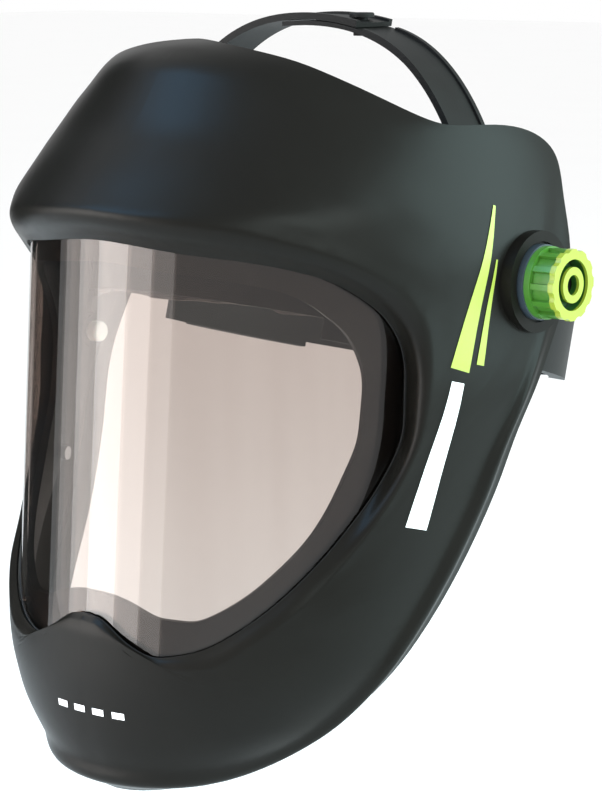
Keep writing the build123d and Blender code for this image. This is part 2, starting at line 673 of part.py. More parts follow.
def make_slider(side):
    """Slider in the rail with the hub that carries the pivot stud."""
    back, face = RAIL_FACE + 0.2, RAIL_LIP - 0.3
    slider = block(back, face, SLIDER_HALF_LENGTH, -SLIDER_HALF_HEIGHT, SLIDER_HALF_HEIGHT)
    slider += x_rod(HUB_NECK_RADIUS, 94.0, HUB_END) + x_rod(HUB_RADIUS, 99.5, HUB_END)
    slider -= x_rod(STUD_HEAD_RADIUS, RAIL_FACE, STUD_HEAD_OUT) + x_rod(STUD_SHOULDER, 90.0, 110.0)
    return on_side(slider, side)


def make_rivet(back, y, side):
    """Headed rivet along X: a round head inside the band and one sunk in the rail."""
    rod, head, front = RIVET_RADIUS - RUNNING, RIVET_HEAD_RADIUS, RAIL_FACE - 0.3
    inside = [(back - RIVET_HEAD, 0), (back - RIVET_HEAD, head), (back, head), (back, rod)]
    outside = [(front - RIVET_HEAD, rod), (front - RIVET_HEAD, head), (front, head), (front, 0)]
    rivet = revolve(make_face(Polyline(*inside, *outside, close=True)), Axis.X)
    return Pos(0, y, 0) * Rot(0, 0, 0 if side > 0 else 180) * rivet


def make_rivets():
    """Rivets through crown straps, headband and side rails; the front and rear ones miss the strap."""
    rivets = []
    for side in (1, -1):
        for y in RIVET_ROWS:
            back = math.sqrt((HEAD_RADIUS - BAND_THICKNESS) ** 2 - min(y, 0) ** 2) - 2.0
            if y == CROWN_Y:
                back = CROWN_SIDE_X - 0.2
            rivets.append(make_rivet(back, y, side).solid())
    return Compound(children=rivets)


def make_sweatband():
    """Soft band in front of the forehead."""
    outer = HEAD_RADIUS - BAND_THICKNESS - 0.2
    low, high = RING_LOW - PAD_MARGIN, RING_HIGH + PAD_MARGIN
    return arc_band(outer - SWEATBAND_THICKNESS, outer, low, high, 2 - FRONT_END, FRONT_END - 2)


# ---------------------------------------------------------------- crown straps

def ribbon(points, low, high, y_low, y_high):
    """Strap solid: a curve in the XZ plane, thick from low to high along its outward normal."""
    curve = Spline(*points)
    count = 24
    places = [k / count for k in range(count + 1)]
    outer = [moved_off(curve, t, high) for t in places]
    inner = [moved_off(curve, t, low) for t in places]
    top, bottom = Spline(*outer), Spline(*inner)
    face = closed_face(top, Line(top @ 1, bottom @ 1), bottom, Line(bottom @ 0, top @ 0))
    solid = extrude(face, amount=y_high - y_low, dir=(0, 1, 0))
    return Pos(0, y_low, 0) * solid


def moved_off(curve, t, distance):
    """Point of a curve in the XZ plane moved along its normal, away from the head."""
    point, tangent = curve @ t, curve % t
    normal = Vector(-tangent.Z, 0, tangent.X)
    return point + normal * distance


def crown_strap(points):
    """Flat strap with a raised rim along each edge. The points run from the left side over the top."""
    low, high = CROWN_Y - CROWN_WIDTH / 2, CROWN_Y + CROWN_WIDTH / 2
    return ribbon(points, 0, CROWN_THICKNESS, low, high)


def crown_rims(points):
    """The two raised rims of a crown strap."""
    low, high = CROWN_Y - CROWN_WIDTH / 2, CROWN_Y + CROWN_WIDTH / 2
    height = CROWN_THICKNESS + CROWN_RIM
    front = ribbon(points, 0, height, low, low + CROWN_RIM_WIDTH)
    return front + ribbon(points, 0, height, high - CROWN_RIM_WIDTH, high)


def crown_rivet_hole(side):
    """Hole for the rivet that holds a crown strap to the leaning side of the headband."""
    return Rot(-RING_LEAN, 0, 0) * x_rod(RIVET_RADIUS, 75, 95, side, CROWN_Y)


def make_crown_left():
    """Left strap: from the side rail up and just past the top, with a row of peg holes."""
    path = [(x, 0, z) for x, z in CROWN_PATH + [(-12, CROWN_TOP - 0.6)]]
    strap = crown_strap(list(reversed(path)))
    strap += crown_rims(list(reversed(path[:-2])))
    for x in (PEG_X - 2 * PEG_PITCH, PEG_X - PEG_PITCH, PEG_X):
        strap -= Pos(x, CROWN_Y, CROWN_TOP) * Cylinder(PEG_RADIUS + PEG_PLAY, 20)
    return strap - crown_rivet_hole(1)


def make_crown_right():
    """Right strap: up and over the top, above the left strap, to the peg."""
    path = [(-x, 0, z) for x, z in CROWN_PATH[:5]]
    path += [(-30, 0, CROWN_TOP - 2.6), (0, 0, CROWN_TOP + 2.3), (26, 0, CROWN_TOP - 0.4)]
    strap = crown_strap(path) + crown_rims(path)
    strap -= Pos(PEG_X, CROWN_Y, CROWN_TOP) * Cylinder(PEG_RADIUS + PEG_PLAY, 20)
    return strap - crown_rivet_hole(-1)


def make_crown_peg():
    """Mushroom peg that locks the two straps together."""
    stem = Pos(PEG_X, CROWN_Y, CROWN_TOP + 0.4) * Cylinder(PEG_RADIUS, 6.6)
    head = Pos(PEG_X, CROWN_Y, CROWN_TOP + 4.3) * Cylinder(5.0, 1.8)
    foot = Pos(PEG_X, CROWN_Y, CROWN_TOP - 3.3) * Cylinder(3.4, 1.4)
    return stem + fillet(head.edges().group_by(Axis.Z)[-1], 0.8) + foot


# ---------------------------------------------------------------- nape ratchet

# All nape parts are modelled about the axis of the rear half circle.

def make_nape_strap(side):
    """Nape strap with a slot at the back and rack teeth along one edge of the slot."""
    inner = strap_radius(side)
    outer = inner + STRAP_THICKNESS
    strap = arc_band(inner, outer, RING_LOW, RING_HIGH, STRAP_START, STRAP_TAIL)
    root = RING_MIDDLE - PINION_PITCH_RADIUS - 1.3
    clear = RING_MIDDLE + PINION_PITCH_RADIUS + 1.6
    pitch = math.degrees(RACK_PITCH / ((inner + outer) / 2))
    half_slot = (RACK_HALF_TEETH + 0.5) * pitch
    strap -= arc_band(inner - 1, outer + 1, root, clear, 180 - half_slot, 180 + half_slot)
    for k in range(-RACK_HALF_TEETH, RACK_HALF_TEETH):
        strap += rack_tooth(inner, outer, root, 180 + (k + 0.5) * pitch)
    if side > 0:
        return strap
    return Pos(0, 0, 2 * RING_MIDDLE) * Rot(0, 180, 0) * strap


def rack_tooth(inner, outer, root, angle):
    """One tooth of the rack, standing up from the lower edge of the slot."""
    base, tip, height = 0.85, 0.36, RACK_TOOTH_HEIGHT
    flank = [(base, -0.4), (base, 0), (tip, height)]
    profile = Polyline(*flank, *[(-x, z) for x, z in reversed(flank)], close=True)
    tooth = extrude(Rot(90, 0, 0) * make_face(profile), amount=(outer - inner) / 2 - 0.02, both=True)
    place = polar((inner + outer) / 2, angle, root)
    return Pos(*place) * Rot(0, 0, angle - 180) * tooth


def make_pinion():
    """Small gear between the two racks, with a journal in the housing and a stub in the knob."""
    start, end = HEAD_RADIUS + 0.3, PINION_END
    pinion = y_rod(PINION_ROOT_RADIUS, start, end, z=RING_MIDDLE)
    flank = [(0.8, 3.0), (0.8, PINION_ROOT_RADIUS + 0.1), (0.33, PINION_TIP_RADIUS)]
    tooth = Polyline(*flank, *[(-x, z) for x, z in reversed(flank)], close=True)
    blank = extrude(Rot(90, 0, 0) * make_face(tooth), amount=(end - start) / 2, both=True)
    for k in range(PINION_TEETH):
        pinion += Pos(0, (start + end) / 2, RING_MIDDLE) * Rot(0, 360 / PINION_TEETH * k, 0) * blank
    pinion += y_rod(JOURNAL_RADIUS, HOUSING_IN + 0.7, start, z=RING_MIDDLE)
    return pinion + y_rod(PINION_STUB_RADIUS, end, PINION_STUB_END, z=RING_MIDDLE)


def screw_places():
    """Angle and height of the four screws of the ratchet cover."""
    heights = (HOUSING_LOW + 2.2, HOUSING_HIGH - 2.2)
    return [(180 + side * COVER_SCREW_ANGLE, z) for side in (1, -1) for z in heights]


def radial_rod(radius, start, end, angle, z):
    """Rod on a radius of the head's axis."""
    middle = polar((start + end) / 2, angle, z)
    return Pos(*middle) * Rot(0, 0, angle) * Rot(90, 0, 0) * Cylinder(radius, end - start)


def make_ratchet_housing():
    """Channel at the nape that both straps run in, with a hole for the pinion's journal."""
    first, last = 180 - HOUSING_HALF_ANGLE, 180 + HOUSING_HALF_ANGLE
    housing = arc_band(HOUSING_IN, HEAD_RADIUS + 0.1, HOUSING_LOW, HOUSING_HIGH, first, last)
    housing += arc_band(HOUSING_IN, COVER_IN - RUNNING, HOUSING_LOW, RING_LOW - 1, first, last)
    housing += arc_band(HOUSING_IN, COVER_IN - RUNNING, RING_HIGH + 1, HOUSING_HIGH, first, last)
    housing -= y_rod(JOURNAL_RADIUS + RUNNING, 80, 88, z=RING_MIDDLE)
    for angle, z in screw_places():
        housing -= radial_rod(COVER_SCREW_RADIUS, COVER_IN - 5.2, COVER_OUT, angle, z)
    return housing


def make_ratchet_cover():
    """Curved cover over the straps, with a round seat for the detent spring."""
    first, last = 180 - HOUSING_HALF_ANGLE, 180 + HOUSING_HALF_ANGLE
    cover = arc_band(COVER_IN, COVER_OUT, HOUSING_LOW, HOUSING_HIGH, first, last)
    cover += y_rod(15.5, COVER_IN + 0.3, COVER_OUT + 0.4, z=RING_MIDDLE)
    cover -= y_rod(PINION_STUB_RADIUS + RUNNING, 88, 100, z=RING_MIDDLE)
    for angle, z in screw_places():
        cover -= radial_rod(COVER_SCREW_RADIUS, COVER_IN - 1, COVER_OUT + 2, angle, z)
    return cover


def make_ratchet_screws():
    """Four screws that hold the cover on the housing."""
    screws = []
    for angle, z in screw_places():
        screw = radial_rod(COVER_SCREW_RADIUS - 0.02, COVER_IN - 5, COVER_OUT + 0.3, angle, z)
        screws.append((screw + radial_rod(2.4, COVER_OUT + 0.05, COVER_OUT + 1.2, angle, z)).solid())
    return Compound(children=screws)


def make_ratchet_spring():
    """Detent spring: a flat ring with two rounded bumps that rub on the knob."""
    base = COVER_OUT + 0.45
    ring = y_rod(13.0, base, base + 0.6, z=RING_MIDDLE) - y_rod(9.0, base - 1, base + 2, z=RING_MIDDLE)
    for side in (1, -1):
        ring += Pos(side * 11, base + 0.8, RING_MIDDLE) * Sphere(0.9)
    return ring - y_rod(20, base - 2, base, z=RING_MIDDLE)


def make_ratchet_knob():
    """Knob at the nape: a fluted cap over the spring, with a hub on the pinion's stub."""
    start, end = COVER_OUT + 0.6, NAPE_KNOB_END
    knob = y_rod(NAPE_KNOB_RADIUS, start + 0.4, end, z=RING_MIDDLE)
    rim = knob.edges().filter_by(GeomType.CIRCLE).sort_by(Axis.Y)[-1]
    knob = fillet(rim, 2.5)
    hub = y_rod(6.0, start - 2, start + 5, z=RING_MIDDLE)
    knob -= y_rod(14.5, start - 1, start + 1.7, z=RING_MIDDLE) - hub
    knob -= y_rod(PINION_STUB_RADIUS, start - 2, PINION_STUB_END, z=RING_MIDDLE)
    reach = NAPE_KNOB_RADIUS + 1.6
    for k in range(NAPE_KNOB_FLUTES):
        a = 2 * math.pi * k / NAPE_KNOB_FLUTES
        knob -= y_rod(2.6, start, end + 1, reach * math.cos(a), RING_MIDDLE + reach * math.sin(a))
    return knob


def make_nape_pad():
    """Soft pad in front of the ratchet housing."""
    outer = HOUSING_IN - 0.2
    inner = outer - NAPE_PAD_THICKNESS
    return arc_band(inner, outer, HOUSING_LOW - PAD_MARGIN, HOUSING_HIGH + PAD_MARGIN, *NAPE_PAD_ANGLES)


# ---------------------------------------------------------------- all parts

def make_visor():
    """Shell, lens and lens frame: everything that tilts, except the pins, washers and springs."""
    screws = make_frame_screws()
    shell = make_shell()
    for screw in screws.solids():
        shell -= screw
    return {
        "shell": shell,
        "lens": make_lens(),
        "lens_gasket": make_gasket(),
        "lens_frame": make_lens_frame(),
        "lens_frame_screws": screws,
    }


def placed(location, shape):
    """A shape moved as a whole; loose solids such as screws are moved one by one."""
    moved = [location * solid for solid in shape.solids()]
    return moved[0] if len(moved) == 1 else Compound(children=moved)


def make_head_ring():
    """Everything that leans with the head ring."""
    front = {
        "headband_front": make_headband(),
        "sweatband": make_sweatband(),
        "headband_rivets": make_rivets(),
    }
    nape = {
        "ratchet_housing": make_ratchet_housing(),
        "ratchet_cover": make_ratchet_cover(),
        "ratchet_screws": make_ratchet_screws(),
        "ratchet_spring": make_ratchet_spring(),
        "ratchet_knob": make_ratchet_knob(),
        "ratchet_pinion": make_pinion(),
        "nape_pad": make_nape_pad(),
    }
    for name, side in SIDES:
        front["side_rail_" + name] = make_side_rail(side)
        front["slider_" + name] = make_slider(side)
        nape["nape_strap_" + name] = make_nape_strap(side)
    lean = Rot(-RING_LEAN, 0, 0)
    parts = {node: placed(lean, shape) for node, shape in front.items()}
    parts.update({node: placed(lean * Pos(0, REAR_ARC_Y, 0), shape) for node, shape in nape.items()})
    return parts


def make_side_parts():
    """Pivots, clamp knobs and lens lock pins, and the crown straps that stand upright."""
    parts = {
        "crown_strap_left": make_crown_left(),
        "crown_strap_right": make_crown_right(),
        "crown_peg": make_crown_peg(),
    }
    for name, side in SIDES:
        parts["clamp_knob_" + name] = make_knob(side)
        parts["knob_insert_" + name] = make_knob_insert(side)
        parts["outer_washer_" + name] = make_outer_washer(side)
        parts["friction_washer_" + name] = make_friction_washer(side)
        parts["pivot_stud_" + name] = make_stud(side)
        parts["lens_lock_pin_" + name] = make_lock_pin(side)
        parts["pin_bushing_" + name] = make_pin_bushing(side)
        parts["pin_spring_" + name] = make_pin_spring(side)
    return parts


os.makedirs("parts", exist_ok=True)
for node, shape in {**make_visor(), **make_head_ring(), **make_side_parts()}.items():
    export_step(shape, "parts/" + node + ".step")
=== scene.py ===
import json
import math

import bpy
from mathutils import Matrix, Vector
from mathutils.bvhtree import BVHTree


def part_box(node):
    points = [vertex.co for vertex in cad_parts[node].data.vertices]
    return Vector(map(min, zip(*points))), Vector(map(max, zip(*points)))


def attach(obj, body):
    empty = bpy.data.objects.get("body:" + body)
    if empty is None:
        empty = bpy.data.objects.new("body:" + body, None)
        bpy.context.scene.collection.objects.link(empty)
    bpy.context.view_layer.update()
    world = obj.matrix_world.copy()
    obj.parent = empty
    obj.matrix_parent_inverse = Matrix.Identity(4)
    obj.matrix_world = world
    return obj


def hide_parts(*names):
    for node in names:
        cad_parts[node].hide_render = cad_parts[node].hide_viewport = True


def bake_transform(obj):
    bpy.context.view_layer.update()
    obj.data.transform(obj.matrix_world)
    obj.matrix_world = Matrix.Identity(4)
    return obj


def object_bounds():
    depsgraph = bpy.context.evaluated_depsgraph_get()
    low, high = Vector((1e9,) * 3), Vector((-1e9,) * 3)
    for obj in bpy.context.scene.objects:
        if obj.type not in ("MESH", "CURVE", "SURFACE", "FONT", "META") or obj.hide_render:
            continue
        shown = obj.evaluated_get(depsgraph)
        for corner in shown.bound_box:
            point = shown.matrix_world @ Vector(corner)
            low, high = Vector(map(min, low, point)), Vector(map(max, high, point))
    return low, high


# Looks of a powered air respirator's head unit: a tilting shield, its lens and its head harness.
# Metres. +Z up, -Y to the front, +X to the wearer's left. The origin is on the pivot axis.

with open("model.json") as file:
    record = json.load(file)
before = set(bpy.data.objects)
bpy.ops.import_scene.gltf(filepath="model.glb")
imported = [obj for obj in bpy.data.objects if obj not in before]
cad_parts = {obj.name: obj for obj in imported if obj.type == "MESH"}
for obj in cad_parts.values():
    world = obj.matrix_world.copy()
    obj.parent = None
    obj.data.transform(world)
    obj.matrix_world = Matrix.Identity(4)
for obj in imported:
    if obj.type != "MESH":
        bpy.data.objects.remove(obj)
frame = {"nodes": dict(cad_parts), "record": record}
CAD_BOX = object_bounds()

# Camera. Angles are in degrees, here and below: azimuth 0 is in front of the unit, 90 at its left.
CAMERA_AZIMUTH = 40
CAMERA_ELEVATION = 10
CAMERA_DISTANCE = 1.061
CAMERA_LENS = 117.0
CAMERA_TARGET = Vector((0.0045, -0.0104, -0.0567))

WHITE = (0.9, 0.9, 0.9)
LIME = (0.27, 0.34, 0.030)
GREEN = (0.045, 0.16, 0.016)
PALER_GREEN = (0.055, 0.20, 0.020)
DEEP_GREEN = (0.012, 0.07, 0.008)
BLACK = (0.011, 0.011, 0.0115)

LENS_TINTS = ((0.68, 0.61, 0.575), (0.735, 0.67, 0.635))
LENS_IOR = 1.5
LENS_ROUGHNESS = 0.035
FLOW_STRETCH = (12, 12, 0.25)       # flow lines run up and down the lens

# On a knob, from its outer face: how deep the lime plate goes, from how deep its sunk ring is
# deep green, and the radius of that ring.
KNOB_PLATE_DEPTH = 0.0026
KNOB_SUNK_DEPTH = 0.0012
KNOB_SUNK_RADIUS = 0.00985

CLOTH_COLOURS = ((0.015, 0.015, 0.017), (0.035, 0.035, 0.038))
KNIT_SCALE = 420.0
KNIT_DEPTH = 0.0006
GRAIN_DEPTH = 0.0004
ROUGHNESS_RANGE = 0.04              # either side of a surface's own roughness

PAD_VOXEL = 0.004
PAD_SHRINK = 0.0008
PAD_PRESSURE = 4.0
PAD_STEPS = 20
PAD_CAP = 0.0022                    # furthest a point of a pad may swell
PAD_SMOOTHING = 4

# Each side mark: start and end (y, z) of its middle line, its width at both ends, and its colour.
SIDE_MARKS = {
    "side_mark_white": ((-0.0550, -0.0890), (-0.0405, -0.0345), 0.0095, 0.0055, WHITE),
    "side_mark_lime": ((-0.0395, -0.0300), (-0.0185, 0.0300), 0.0085, 0.0012, LIME),
    "side_mark_lime_thin": ((-0.0300, -0.0290), (-0.0205, 0.0100), 0.0036, 0.0008, LIME),
}
SIDE_MARK_ROWS = 24
CHIN_DASHES = 4
CHIN_DASH_Z = -0.1600
CHIN_DASH_START = -0.015
CHIN_DASH_PITCH = 0.0095
CHIN_DASH_SIZE = (0.0055, 0.0026)
CHIN_DASH_ROWS = 4
MARK_LIFT = 0.0003                  # height of the print above the shell
MARK_PALER = 1.1                    # how much paler the print is in patches
BESIDE_SHELL = 0.2                  # x from which the side marks are cast onto the shell
BEFORE_SHELL = -0.3                 # y from which the chin dashes are cast

# Each light: azimuth, elevation, distance, width, height, power, colour.
WARM_WHITE = (1.0, 0.97, 0.95)
SOFT_BOXES = {
    "blue_top": (-35, 50, 1.5, 0.9, 0.6, 12, (0.22, 0.58, 1.0)),
    "teal_side": (118, 22, 1.6, 1.0, 1.5, 44, (0.68, 0.95, 0.95)),
    "jaw_edge": (100, -28, 1.6, 0.5, 0.8, 2, (0.8, 0.96, 1.0)),
    "key": (66, 26, 1.8, 1.0, 0.7, 14, (0.86, 1.0, 0.97)),
    "front_strip_0": (-33, 2, 1.60, 2.1, 1.6, 18, WARM_WHITE),
    "front_strip_1": (-33, 2, 1.61, 1.3, 1.6, 22, WARM_WHITE),
    "front_strip_2": (-33, 2, 1.62, 0.5, 1.6, 11, WARM_WHITE),
}
WORLD_STRENGTH = 1.0
FLOOR_DROP = 0.25                   # below the unit, which hangs as if it were worn
FLOOR_SIZE = 30
FLAG_AZIMUTH = -92
FLAG_DISTANCE = 1.1
FLAG_SIZE = (0.9, 1.6, 1)

# Slots whose look is one surface() each.
SURFACES = {
    "shell_plastic": dict(
        low=(0.0040, 0.0036, 0.0028), high=(0.0070, 0.0064, 0.0052), roughness=0.36,
        scale=25, bump=0.05, bump_scale=2600, Specular_IOR_Level=0.11,
    ),
    "seal_rubber": dict(low=(0.01, 0.01, 0.01), high=(0.02, 0.02, 0.02), roughness=0.7),
    "frame_plastic": dict(
        low=(0.005, 0.005, 0.0045), high=(0.009, 0.009, 0.0085), roughness=0.42,
        Specular_IOR_Level=0.2,
    ),
    "screw_steel": dict(
        low=(0.35, 0.35, 0.36), high=(0.5, 0.5, 0.52), roughness=0.3, scale=400, Metallic=1.0,
    ),
    "band_plastic": dict(
        low=(0.006, 0.006, 0.006), high=(0.011, 0.011, 0.0105), roughness=0.5,
        scale=80, bump=0.15, Specular_IOR_Level=0.12,
    ),
    "strap_plastic": dict(
        low=(0.009, 0.0085, 0.008), high=(0.016, 0.0155, 0.015), roughness=0.52,
        scale=80, bump=0.12, Specular_IOR_Level=0.08,
    ),
    "rivet_steel": dict(
        low=(0.12, 0.12, 0.13), high=(0.2, 0.2, 0.21), roughness=0.35, scale=300, Metallic=1.0,
    ),
    "spring_steel": dict(
        low=(0.45, 0.45, 0.46), high=(0.6, 0.6, 0.6), roughness=0.25, scale=300, Metallic=1.0,
    ),
    "insert_brass": dict(
        low=(0.02, 0.016, 0.01), high=(0.04, 0.032, 0.02), roughness=0.4, scale=300, Metallic=1.0,
    ),
    "washer_plastic": dict(low=(0.03, 0.045, 0.06), high=(0.045, 0.06, 0.075), roughness=0.35),
    "friction_pad": dict(low=(0.03, 0.025, 0.02), high=(0.05, 0.04, 0.035), roughness=0.8),
    "stud_steel": dict(
        low=(0.008, 0.008, 0.008), high=(0.015, 0.015, 0.016), roughness=0.45,
        scale=300, Metallic=0.6,
    ),
    "slider_plastic": dict(low=BLACK, high=(0.018, 0.018, 0.018), roughness=0.4),
    "pin_plastic": dict(
        low=(0.62, 0.62, 0.6), high=(0.74, 0.74, 0.72), roughness=0.3,
        scale=200, bump=0.04, Subsurface_Weight=0.4, Subsurface_Scale=0.003,
    ),
    "bushing_plastic": dict(low=(0.4, 0.4, 0.4), high=(0.5, 0.5, 0.5), roughness=0.4),
    "ratchet_plastic": dict(
        low=BLACK, high=(0.019, 0.019, 0.02), roughness=0.45,
        scale=80, bump=0.12, Specular_IOR_Level=0.2,
    ),
    "pinion_plastic": dict(low=(0.6, 0.6, 0.56), high=(0.7, 0.7, 0.66), roughness=0.4),
}


# ---------------------------------------------------------------- material helpers

def new_material(name):
    """Empty node material, and its tree."""
    material = bpy.data.materials.new(name)
    material.use_nodes = True
    material.node_tree.nodes.clear()
    return material, material.node_tree


def put(tree, socket, value):
    """Set a socket to a value, or link it to another socket."""
    if isinstance(value, bpy.types.NodeSocket):
        tree.links.new(value, socket)
    elif hasattr(value, "__len__") and len(value) == 3 and len(socket.default_value) == 4:
        socket.default_value = (*value, 1.0)
    else:
        socket.default_value = value


def add(tree, kind, **inputs):
    """Node of a kind; inputs are named values or sockets, with _ in place of a space."""
    node = tree.nodes.new(kind)
    for name, value in inputs.items():
        put(tree, node.inputs[name.replace("_", " ")], value)
    return node


def show(tree, shader):
    """Make a shader node the surface of its material."""
    add(tree, "ShaderNodeOutputMaterial", Surface=shader.outputs[0])


def own_place(tree):
    """Coordinates of the object itself, in metres."""
    return tree.nodes.new("ShaderNodeTexCoord").outputs["Object"]


def maths(tree, operation, first, second=0.0):
    """Result of an operation on one or two numbers or sockets."""
    node = tree.nodes.new("ShaderNodeMath")
    node.operation = operation
    put(tree, node.inputs[0], first)
    put(tree, node.inputs[1], second)
    return node.outputs[0]


def noise(tree, scale, detail=3.0, stretch=(1, 1, 1)):
    """Noise over the object's own coordinates, which are first scaled along the axes."""
    mapping = add(tree, "ShaderNodeMapping", Vector=own_place(tree), Scale=stretch)
    texture = add(tree, "ShaderNodeTexNoise", Vector=mapping.outputs[0], Scale=scale, Detail=detail)
    return texture.outputs["Fac"]


def between(tree, factor, low, high):
    """Colour between two colours."""
    mix = tree.nodes.new("ShaderNodeMix")
    mix.data_type = "RGBA"
    # The node has sockets for numbers and vectors too, so its colours go by number.
    put(tree, mix.inputs["Factor"], factor)
    put(tree, mix.inputs[6], low)
    put(tree, mix.inputs[7], high)
    return mix.outputs[2]


def spread(tree, factor, low, high):
    """Number between two numbers."""
    node = add(tree, "ShaderNodeMapRange", Value=factor, To_Min=low, To_Max=high)
    return node.outputs[0]


def grain(tree, scale, strength):
    """Fine bump."""
    height = noise(tree, scale, detail=2.0)
    bump = add(tree, "ShaderNodeBump", Height=height, Strength=strength, Distance=GRAIN_DEPTH)
    return bump.outputs[0]


def surface(name, low, high, roughness, scale=60, bump=0.08, bump_scale=1400, **extra):
    """Procedural surface: colour and roughness vary a little, with a fine grain."""
    material, tree = new_material(name)
    patches = noise(tree, scale)
    shader = add(
        tree,
        "ShaderNodeBsdfPrincipled",
        Base_Color=between(tree, patches, low, high),
        Roughness=spread(tree, patches, roughness - ROUGHNESS_RANGE, roughness + ROUGHNESS_RANGE),
        Normal=grain(tree, bump_scale, bump),
        **extra,
    )
    show(tree, shader)
    return material


# ---------------------------------------------------------------- materials

def lens_material():
    """Clear plastic with a faint smoke and vertical flow lines, and a sharp surface reflection."""
    material, tree = new_material("lens_clear")
    flow = noise(tree, scale=7.0, detail=4.0, stretch=FLOW_STRETCH)
    tint = between(tree, flow, *LENS_TINTS)
    through = add(tree, "ShaderNodeBsdfTransparent", Color=tint)
    mirror = add(tree, "ShaderNodeBsdfGlossy", Color=WHITE, Roughness=LENS_ROUGHNESS)
    # The light isn't bent inside the lens, so the back of a face reflects as its front does.
    back = tree.nodes.new("ShaderNodeNewGeometry").outputs["Backfacing"]
    edge = add(tree, "ShaderNodeFresnel", IOR=spread(tree, back, LENS_IOR, 1 / LENS_IOR))
    mix = add(tree, "ShaderNodeMixShader", Fac=edge.outputs[0])
    put(tree, mix.inputs[1], through.outputs[0])
    put(tree, mix.inputs[2], mirror.outputs[0])
    show(tree, mix)
    return material


def knob_material(side):
    """Green body with a lime face plate and hub, and a deep green ring sunk between them."""
    material, tree = new_material("knob_" + side)
    low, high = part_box("clamp_knob_" + side)
    face = max(abs(low.x), abs(high.x))
    x, y, z = add(tree, "ShaderNodeSeparateXYZ", Vector=own_place(tree)).outputs
    out = maths(tree, "ABSOLUTE", x)
    squares = maths(tree, "ADD", maths(tree, "MULTIPLY", y, y), maths(tree, "MULTIPLY", z, z))
    radius = maths(tree, "SQRT", squares)
    plate = maths(tree, "GREATER_THAN", out, face - KNOB_PLATE_DEPTH)
    in_ring = maths(tree, "LESS_THAN", radius, KNOB_SUNK_RADIUS)
    sunk = maths(tree, "LESS_THAN", out, face - KNOB_SUNK_DEPTH)
    wear = noise(tree, scale=300)
    green = between(tree, wear, GREEN, PALER_GREEN)
    colour = between(tree, plate, green, LIME)
    colour = between(tree, maths(tree, "MULTIPLY", in_ring, sunk), colour, DEEP_GREEN)
    shader = add(
        tree,
        "ShaderNodeBsdfPrincipled",
        Base_Color=colour,
        Roughness=spread(tree, wear, low=0.3, high=0.38),
        Normal=grain(tree, scale=1500, strength=0.05),
        Subsurface_Weight=0.06,
        Subsurface_Scale=0.002,
        Coat_Weight=0.25,
        Coat_Roughness=0.2,
    )
    show(tree, shader)
    return material


def fabric_material():
    """Knitted cloth: rows of small ribs over a soft dark colour."""
    material, tree = new_material("foam_cloth")
    ribs = add(
        tree,
        "ShaderNodeTexWave",
        Vector=own_place(tree),
        Scale=KNIT_SCALE,
        Distortion=2.5,
        Detail=2.0,
    )
    ribs.bands_direction = "Z"
    knit = maths(tree, "ADD", ribs.outputs["Fac"], noise(tree, scale=900))
    bump = add(tree, "ShaderNodeBump", Height=knit, Strength=0.5, Distance=KNIT_DEPTH)
    shader = add(
        tree,
        "ShaderNodeBsdfPrincipled",
        Base_Color=between(tree, noise(tree, scale=120), *CLOTH_COLOURS),
        Roughness=0.9,
        Sheen_Weight=0.5,
        Sheen_Roughness=0.5,
        Normal=bump.outputs[0],
    )
    show(tree, shader)
    return material


def make_materials():
    """One material for each slot of the record, apart from the knobs' slot."""
    materials = {slot: surface(slot, **look) for slot, look in SURFACES.items()}
    materials["lens_clear"] = lens_material()
    materials["foam"] = fabric_material()
    return materials


def paint(piece, material):
    """Give a piece one material."""
    piece.data.materials.clear()
    piece.data.materials.append(material)


def paint_frame(materials):
    """Every CAD node takes the material of its slot; the two knobs have one each."""
    for entry in frame["record"]["subparts"]:
        node = frame["nodes"][entry["node"]]
        if entry["material_slot"] == "knob_green":
            paint(node, knob_material(entry["node"].rsplit("_", 1)[1]))
        else:
            paint(node, materials[entry["material_slot"]])


# ---------------------------------------------------------------- soft pads

def new_object(name, data):
    """Object that holds the data, in the scene."""
    thing = bpy.data.objects.new(name, data)
    bpy.context.scene.collection.objects.link(thing)
    return thing


def copied_mesh(node, name):
    """New piece with a copy of a CAD node's mesh."""
    return new_object(name, frame["nodes"][node].data.copy())


def apply_modifiers(piece):
    """Apply every modifier of a piece, in order."""
    bpy.context.view_layer.objects.active = piece
    for modifier in list(piece.modifiers):
        bpy.ops.object.modifier_apply(modifier=modifier.name)


def shrink(piece, distance):
    """Move the surface in along its normals, so that the swollen pad stays in its own space."""
    for vertex, normal in [(v, v.normal.copy()) for v in piece.data.vertices]:
        vertex.co -= normal * distance


def inflate(piece):
    """Blow the pad up a little as cloth, no further than the cap."""
    start = [v.co.copy() for v in piece.data.vertices]
    cloth = piece.modifiers.new("cloth", "CLOTH")
    cloth.settings.use_pressure = True
    cloth.settings.uniform_pressure_force = PAD_PRESSURE
    cloth.settings.effector_weights.gravity = 0.0
    for step in range(1, PAD_STEPS + 1):
        bpy.context.scene.frame_set(step)
    apply_modifiers(piece)
    bpy.context.scene.frame_set(1)
    for vertex, before in zip(piece.data.vertices, start):
        move = vertex.co - before
        if move.length > PAD_CAP:
            vertex.co = before + move.normalized() * PAD_CAP


def soft_pad(node, body, material):
    """Cloth-covered foam pad in place of a plain CAD solid."""
    piece = copied_mesh(node, node + "_cloth")
    remesh = piece.modifiers.new("remesh", "REMESH")
    remesh.mode = "VOXEL"
    remesh.voxel_size = PAD_VOXEL
    apply_modifiers(piece)
    shrink(piece, PAD_SHRINK)
    inflate(piece)
    piece.modifiers.new("smooth", "SMOOTH").iterations = PAD_SMOOTHING
    piece.modifiers.new("subdivide", "SUBSURF").levels = 1
    apply_modifiers(piece)
    piece.data.shade_smooth()
    paint(piece, material)
    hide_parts(node)
    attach(piece, body)


# ---------------------------------------------------------------- pin springs

